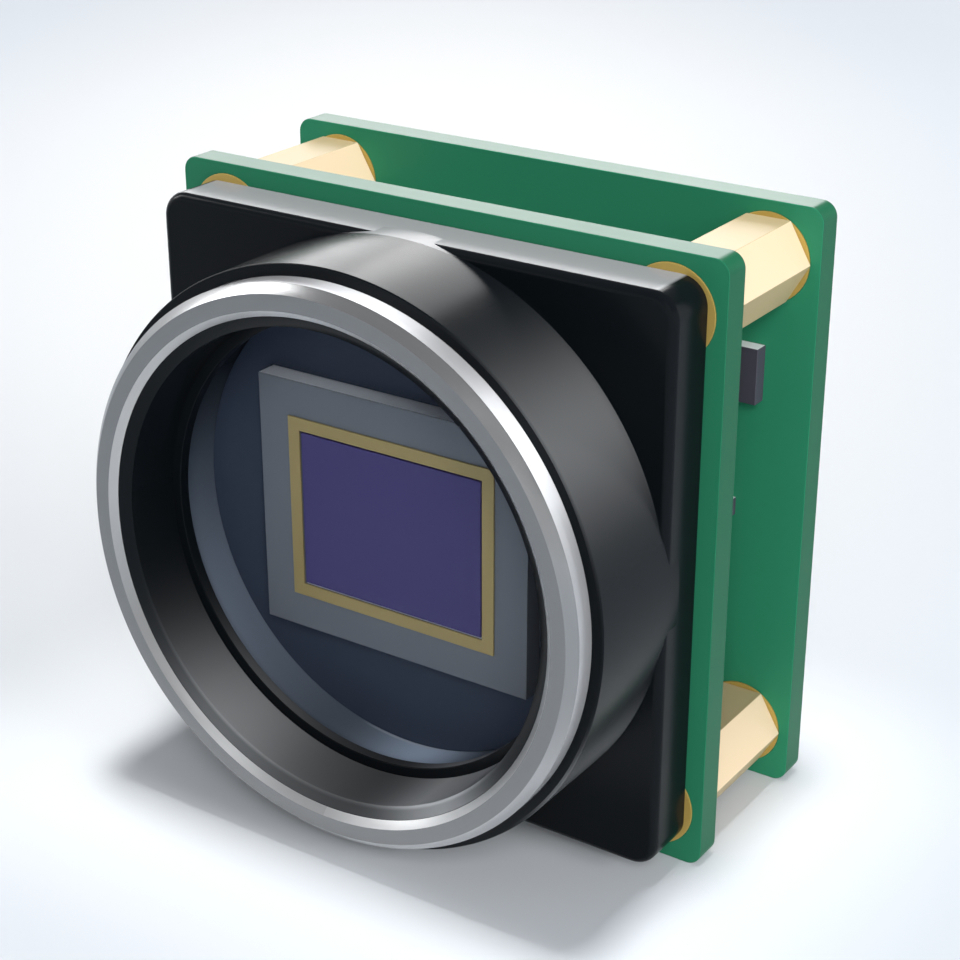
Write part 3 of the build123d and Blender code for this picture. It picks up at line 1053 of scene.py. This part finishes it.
@dataclass
class LensMount:
    """Moulded lens holder, its metal flange ring and the filter behind the ledge."""

    palette: Palette
    segments: int = 320
    plate_half: float = 15.0 * MM
    plate_corner: float = 1.4 * MM
    plate_edge: float = 0.45 * MM
    plate_edge_steps: int = 8
    plate_front: float = 7.2 * MM
    plate_back: float = 10.15 * MM
    barrel_radius: float = 15.1 * MM
    barrel_front: float = 1.5 * MM
    barrel_root: float = 8.4 * MM
    barrel_edge: float = 0.08 * MM
    spigot_radius: float = 12.885 * MM
    spigot_front: float = 0.35 * MM
    spigot_edge: float = 0.02 * MM
    bore_radius: float = 12.3 * MM
    bore_front: float = 0.7 * MM
    bore_edge: float = 0.05 * MM
    ledge_front: float = 3.8 * MM
    ledge_back: float = 4.42 * MM
    ledge_radius: float = 11.77 * MM
    ledge_edge: float = 0.04 * MM
    cavity_radius: float = 12.5 * MM
    hidden_radius: float = 12.9 * MM
    ring_radius: float = 14.5 * MM
    ring_bore: float = 12.89 * MM
    ring_height: float = 1.5 * MM
    ring_edge: float = 0.04 * MM
    outer_chamfer: float = 0.45 * MM
    inner_chamfer: float = 0.35 * MM
    filter_radius: float = 12.44 * MM
    filter_thickness: float = 0.8 * MM
    filter_edge: float = 0.08 * MM
    filter_crease: float = 20.0
    filter_segments: int = 192

    def build(self) -> None:
        """Builds the holder, the ring and the filter."""
        self.build_holder()
        self.build_ring()
        self.build_filter()

    def build_holder(self) -> None:
        """Barrel turned about the axis, joined with the square plate."""
        outline = (
            (self.barrel_radius, self.barrel_root, 0),
            (self.barrel_radius, self.barrel_front, self.barrel_edge),
            (self.spigot_radius, self.barrel_front, 0),
            (self.spigot_radius, self.spigot_front, self.spigot_edge),
            (self.bore_radius, self.bore_front, self.bore_edge),
            (self.bore_radius, self.ledge_front, 0),
            (self.ledge_radius, self.ledge_front, self.ledge_edge),
            (self.ledge_radius, self.ledge_back, self.ledge_edge),
            (self.cavity_radius, self.ledge_back, 0),
            (self.cavity_radius, self.plate_back, 0),
            (self.hidden_radius, self.plate_back, 0),
            (self.hidden_radius, self.barrel_root, 0),
        )
        joined = bmesh.new()
        joined.from_mesh(revolved("holder_barrel", rounded_profile(outline), self.segments))
        joined.from_mesh(self.plate_mesh())
        moulding = bpy.data.meshes.new("lens_holder_moulding")
        joined.to_mesh(moulding)
        joined.free()
        material = self.palette[BLACK_PLASTIC]
        keep_flats(add_piece(moulding, material, ("lens_holder",)))

    def plate_mesh(self) -> Mesh:
        """Square plate with a round hole, rounded corners and a rounded front edge.

        The outline at a fillet angle t is inset by edge (1 - sin t) at depth
        front + edge (1 - cos t), for t from 0 on the front face to 90 degrees on the side.

        Returns:
            The closed mesh.
        """
        half, corner, edge = self.plate_half, self.plate_corner, self.plate_edge
        outer = square_loop(half, corner)
        bearing = np.arctan2(outer[:, 1], outer[:, 0])
        hole = (self.cavity_radius + self.hidden_radius) / 2
        circle = hole * np.stack([np.cos(bearing), np.sin(bearing)], axis=-1)
        levels = [(circle, self.plate_back), (circle, self.plate_front)]
        for t in np.linspace(0, math.pi / 2, self.plate_edge_steps + 1):
            inset = edge * (1 - math.sin(t))
            depth = self.plate_front + edge * (1 - math.cos(t))
            levels.append((square_loop(half - inset, corner - inset), depth))
        levels.append((outer, self.plate_back))
        rings = [np.insert(loop, 1, depth, axis=1) for loop, depth in levels]
        quads = grid_quads(len(rings), len(outer), True)
        return mesh_of("holder_plate", np.array(rings), quads.tolist())

    def build_ring(self) -> None:
        """Flange ring with its two bright chamfers."""
        outline = (
            (self.ring_bore + self.inner_chamfer, 0.0, self.ring_edge),
            (self.ring_radius - self.outer_chamfer, 0.0, self.ring_edge),
            (self.ring_radius, self.outer_chamfer, self.ring_edge),
            (self.ring_radius, self.ring_height, 0),
            (self.ring_bore, self.ring_height, 0),
            (self.ring_bore, self.inner_chamfer, self.ring_edge),
        )
        ring = revolved("flange_ring", rounded_profile(outline, 3), self.segments)
        keep_flats(add_piece(ring, self.palette[FLANGE_METAL], ("mount_ring",)))

    def build_filter(self) -> None:
        """Filter disc with a ground edge, on the back of the ledge."""
        back = self.ledge_back + self.filter_thickness
        radius, edge = self.filter_radius, self.filter_edge
        rim = (
            (radius - edge, self.ledge_back),
            (radius, self.ledge_back + edge),
            (radius, back - edge),
            (radius - edge, back),
        )
        disc = revolved("filter_disc", np.array(rim), self.filter_segments, capped=True)
        material = self.palette[FILTER_GLASS]
        add_piece(disc, material, ("filter_glass",), self.filter_crease)


@dataclass(frozen=True)
class Dressing:
    """A finish, its material slot and the width of the rounded edges, for some CAD nodes."""

    finish: Finish
    slot: str
    bevel: float
    nodes: tuple[str, ...]


@dataclass
class Electronics:
    """Sensor, boards, fasteners and components, taken over from the CAD solids."""

    palette: Palette
    nodes: dict[str, Object]
    dressings: tuple[Dressing, ...] = (
        Dressing(SEAL_RUBBER, "seal_rubber", 0.03 * MM, ("sensor_seal",)),
        Dressing(CERAMIC, "ceramic", 0.04 * MM, ("sensor_package",)),
        Dressing(FRAME_GOLD, "gold_plating", 0.02 * MM, ("sensor_frame",)),
        Dressing(SILICON, "silicon", 0.02 * MM, ("sensor_die",)),
        Dressing(
            CONNECTOR_PLASTIC, "connector_plastic", 0.03 * MM,
            ("sensor_socket", "board_plug", "board_receptacle"),
        ),
        Dressing(BOARD_PLAIN, "board_green", 0.04 * MM, ("front_board",)),
        Dressing(BOARD_TRACKED_PAINTED_LIGHT, "board_green", 0.04 * MM, ("rear_board",)),
        Dressing(GOLD, "gold_plating", 0.02 * MM, ("front_bushes", "rear_bushes")),
        Dressing(
            BRASS, "brass_spacer", 0.04 * MM,
            ("spacer_top_left", "spacer_top_right", "spacer_bottom_left", "spacer_bottom_right"),
        ),
        Dressing(SCREW_STEEL, "screw_steel", 0.12 * MM, ("rear_screws",)),
        Dressing(TIN, "contact_metal", 0.02 * MM, ("connector_contacts", "flash_legs")),
        Dressing(TIN, "contact_metal", 0.04 * MM, ("capacitor_ends", "resistor_ends")),
        Dressing(TIN, "contact_metal", 0.05 * MM, ("header_pins",)),
        Dressing(CHIP_EPOXY, "chip_black", 0.02 * MM, ("logic_chip",)),
        Dressing(CHIP_EPOXY, "chip_black", 0.04 * MM, ("memory_chip", "regulator", "flash_chip")),
        Dressing(CHIP_EPOXY, "chip_black", 0.05 * MM, ("frame_memory", "processor")),
        Dressing(LID_METAL, "lid_metal", 0.06 * MM, ("oscillator",)),
        Dressing(FERRITE, "ferrite", 0.08 * MM, ("power_inductor",)),
        Dressing(HEADER_PLASTIC, "header_plastic", 0.08 * MM, ("host_header",)),
        Dressing(CAPACITOR, "capacitor_ceramic", 0.02 * MM, ("capacitor_bodies",)),
        Dressing(RESISTOR, "resistor_body", 0.02 * MM, ("resistor_bodies",)),
    )
    crease: float = 28.0
    same_point: float = 0.001 * MM
    same_plane: float = 1.0

    def build(self) -> None:
        """Dresses each node."""
        for dressing in self.dressings:
            for node in dressing.nodes:
                self.dress(node, dressing)

    def dress(self, node: str, dressing: Dressing) -> None:
        """Shows a node by a copy with its sharp edges slightly rounded, as a made piece has them.

        Its loose triangles are merged first, and those in one plane joined again.

        Args:
            node: Name of the CAD node.
            dressing: Its finish, slot and width of rounded edges.
        """
        mesh = self.nodes[node].data.copy()
        mesh.name = f"{node}_finished"
        solid = bmesh.new()
        solid.from_mesh(mesh)
        bmesh.ops.remove_doubles(solid, verts=solid.verts, dist=self.same_point)
        flat = math.radians(self.same_plane)
        bmesh.ops.dissolve_limit(solid, angle_limit=flat, verts=solid.verts, edges=solid.edges)
        solid.to_mesh(mesh)
        solid.free()
        material = self.palette[dressing.finish]
        piece = add_piece(mesh, material, (node,), self.crease)
        edge = piece.modifiers.new("rounded_edges", "BEVEL")
        edge.width = dressing.bevel
        edge.segments = 2
        edge.limit_method = "ANGLE"
        edge.angle_limit = math.radians(self.crease)
        edge.use_clamp_overlap = True
        edge.harden_normals = True


@dataclass
class BoardPrint:
    """White outlines printed on the rear board's back round its larger components."""

    palette: Palette
    face: float = 21.35 * MM
    thickness: float = 0.012 * MM
    line: float = 0.14 * MM
    margin: float = 0.35 * MM
    around: tuple[str, ...] = ("processor", "frame_memory", "power_inductor", "oscillator")

    def build(self) -> None:
        """Builds every outline as four bars each."""
        boxes = []
        for node in self.around:
            low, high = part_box(node)
            x0, x1 = low.x - self.margin, high.x + self.margin
            z0, z1 = low.z - self.margin, high.z + self.margin
            for a, b, c, d in (
                (x0, x1, z0, z0 + self.line),
                (x0, x1, z1 - self.line, z1),
                (x0, x0 + self.line, z0 + self.line, z1 - self.line),
                (x1 - self.line, x1, z0 + self.line, z1 - self.line),
            ):
                boxes.append([[a, self.face, c], [b, self.face + self.thickness, d]])
        add_piece(bars("board_print", np.array(boxes)), self.palette[PRINT_WHITE])


# Studio


@dataclass(frozen=True)
class Softbox:
    """A soft area lamp that faces the module from a direction."""

    name: str
    direction: tuple[float, float, float]
    width: float
    height: float
    power: float
    use: LampUse
    distance: float = 0.60

    def place(self, target: Vector) -> None:
        """Adds the lamp, turned towards the target.

        Args:
            target: Point that the lamp faces.
        """
        lamp = bpy.data.lights.new(self.name, "AREA")
        lamp.shape = "RECTANGLE"
        lamp.size, lamp.size_y = self.width, self.height
        lamp.energy = self.power
        holder = bpy.data.objects.new(self.name, lamp)
        way = Vector(self.direction).normalized()
        holder.location = target + way * self.distance
        holder.rotation_euler = way.to_track_quat("Z", "Y").to_euler()
        holder.visible_camera = False
        holder.visible_diffuse, holder.visible_glossy = self.use.value
        bpy.context.scene.collection.objects.link(holder)


@dataclass(frozen=True)
class FloorPaper:
    """Pale paper, whitest behind the module and bluer round it."""

    middle: Colour = (0.76, 0.765, 0.77)
    far: Colour = (0.565, 0.61, 0.665)
    white: Colour = (1.0, 1.0, 1.0)
    tone_ahead: float = 120.0 * MM
    tone_reach: Pair = (70.0 * MM, 160.0 * MM)
    tone_fade: Pair = (0.2, 1.15)
    footprint: tuple[float, float, float, float] = (-14.5 * MM, 14.5 * MM, 1.5 * MM, 19.85 * MM)
    glow: float = 0.16
    glow_in: float = 3.5 * MM
    glow_out: Pair = (4.0 * MM, 16.0 * MM)
    haze: float = 0.155
    haze_fade: Pair = (20.0 * MM, 170.0 * MM)
    distance_haze: float = 0.72
    distance_fade: Pair = (120.0 * MM, 900.0 * MM)

    def make(self, turn: float) -> Material:
        """Builds the material.

        The colour goes from middle to far with v, where v v = (across / 70 mm)^2 +
        ((along - 120 mm) / 160 mm)^2 and along and across are the floor's x and y turned about
        the vertical. A weak glow, seen by the eye, in mirrors and through glass only, evens out
        the paper's shade close round the module's footprint and whitens the paper further along
        and at a distance.

        Args:
            turn: Angle between y and along, in radians.

        Returns:
            The material.
        """
        material, graph = new_material("floor_paper")
        graph.hold(Roughness=1.0, Specular_IOR_Level=0.0, Emission_Color=self.white)
        x, y, _ = graph.axes()
        s, c = math.sin(turn), math.cos(turn)
        along = graph.minus(graph.times(y, c), graph.times(x, s))
        across = graph.plus(graph.times(x, c), graph.times(y, s))
        ahead = graph.minus(along, self.tone_ahead)
        wide, deep = self.tone_reach
        v = graph.length(graph.math("DIVIDE", across, wide), graph.math("DIVIDE", ahead, deep))
        graph.feed("Base Color", graph.mixed(self.middle, self.far, graph.fade(v, *self.tone_fade)))
        x0, x1, y0, y1 = self.footprint
        beyond = []
        for axis, low, high in ((x, x0, x1), (y, y0, y1)):
            offset = graph.math("ABSOLUTE", graph.minus(axis, (low + high) / 2))
            beyond.append(graph.math("MAXIMUM", graph.minus(offset, (high - low) / 2), 0.0))
        gap = graph.length(*beyond)
        ring = graph.times(
            graph.fade(gap, 0.0, self.glow_in), graph.minus(1.0, graph.fade(gap, *self.glow_out))
        )
        near = graph.times(graph.fade(along, *self.haze_fade), self.haze)
        distant = graph.times(
            graph.fade(graph.length(x, y), *self.distance_fade), self.distance_haze
        )
        glow = graph.plus(graph.times(ring, self.glow), graph.plus(near, distant))
        rays = graph.add("ShaderNodeLightPath").outputs
        seen = graph.math("ADD", rays["Is Camera Ray"], rays["Is Glossy Ray"], clamp=True)
        seen = graph.math("ADD", seen, rays["Is Transmission Ray"], clamp=True)
        graph.feed("Emission Strength", graph.times(glow, seen))
        return material


@dataclass
class Studio:
    """Pale floor, soft lamps, world light and the camera."""

    paper: FloorPaper = FloorPaper()
    centre: Vector = field(default_factory=lambda: Vector((0.0, 10.0 * MM, 0.0)))
    floor_level: float = -16.0 * MM
    floor_reach: float = 4.0
    floor_flat: float = 1.1
    floor_rise: float = 1.5
    floor_rings: int = 24
    floor_segments: int = 96
    world_colour: Colour = (0.94, 0.96, 1.0)
    world_strength: float = 0.28
    azimuth: float = 34.03
    elevation: float = 24.0
    camera_place: tuple[float, float, float] = (55.87 * MM, -68.66 * MM, 44.44 * MM)
    focal_length: float = 77.72
    sensor_width: float = 36.0
    clip: Pair = (0.001, 10.0)
    lamps: tuple[Softbox, ...] = (
        Softbox("key_panel", (0.50, -0.67, 0.55), 0.24, 0.24, 1.80, LampUse.FILL),
        Softbox("key_glint", (0.50, -0.67, 0.55), 0.12, 0.12, 0.35, LampUse.CARD),
        Softbox("top_panel", (0.0, 0.02, 1.0), 0.09, 0.09, 2.60, LampUse.FILL),
        Softbox("right_panel", (1.0, -0.10, 0.35), 0.24, 0.24, 1.85, LampUse.FILL),
        Softbox("back_card", (-0.55, 0.757, 0.36), 0.44, 0.24, 1.45, LampUse.CARD),
        Softbox("high_card", (-0.33, 0.757, 0.56), 0.22, 0.24, 0.80, LampUse.CARD),
        Softbox("glint_card", (-0.82, -0.22, 0.50), 0.14, 0.32, 1.45, LampUse.CARD),
    )

    def build(self) -> None:
        """Sets up the floor, world, lamps and camera."""
        bpy.context.scene.view_settings.view_transform = "Standard"
        self.build_floor()
        self.build_world()
        for lamp in self.lamps:
            lamp.place(self.centre)
        self.build_camera()

    def build_floor(self) -> None:
        """Round pale sheet under the module, flat near it and rising far off as a low backdrop.

        The height above the floor is rise ((radius - flat) / (reach - flat))^2 beyond flat.
        """
        turn = full_turn(self.floor_segments)
        radius = np.linspace(self.floor_flat, self.floor_reach, self.floor_rings)[:, None]
        climb = (radius - self.floor_flat) / (self.floor_reach - self.floor_flat)
        height = self.floor_level + self.floor_rise * climb**2 + 0 * turn
        points = np.stack([radius * np.cos(turn), radius * np.sin(turn), height], axis=-1)
        slopes = grid_quads(self.floor_rings, self.floor_segments, False)[:, ::-1]
        flat = list(range(self.floor_segments))
        mesh = mesh_of("floor", points, [flat, *slopes.tolist()])
        mesh.polygons.foreach_set("use_smooth", np.ones(len(mesh.polygons), bool))
        mesh.materials.append(self.paper.make(math.radians(self.azimuth)))
        floor = bpy.data.objects.new("floor", mesh)
        bpy.context.scene.collection.objects.link(floor)

    def build_world(self) -> None:
        """Even pale light from all round."""
        world = bpy.data.worlds.new("studio_air")
        world.use_nodes = True
        background = world.node_tree.nodes["Background"]
        background.inputs["Color"].default_value = (*self.world_colour, 1)
        background.inputs["Strength"].default_value = self.world_strength
        bpy.context.scene.world = world

    def build_camera(self) -> None:
        """Camera at the photograph's place, looking along its azimuth and elevation."""
        lens = bpy.data.cameras.new("photo_camera")
        lens.sensor_width = self.sensor_width
        lens.lens = self.focal_length
        lens.clip_start, lens.clip_end = self.clip
        camera = bpy.data.objects.new("photo_camera", lens)
        camera.location = self.camera_place
        down, across = math.radians(90 - self.elevation), math.radians(self.azimuth)
        camera.rotation_euler = (down, 0.0, across)
        bpy.context.scene.collection.objects.link(camera)
        bpy.context.scene.camera = camera


def corners(box: object) -> list[list[float]]:
    """A box as plain lists of numbers."""
    return [[float(v) for v in corner] for corner in box]


def main() -> None:
    logging.basicConfig(level=logging.INFO, format="%(name)s %(message)s")
    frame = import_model()
    palette = Palette(Groups())
    LensMount(palette).build()
    Electronics(palette, frame["nodes"]).build()
    BoardPrint(palette).build()
    Studio().build()


if __name__ == "__main__":
    main()
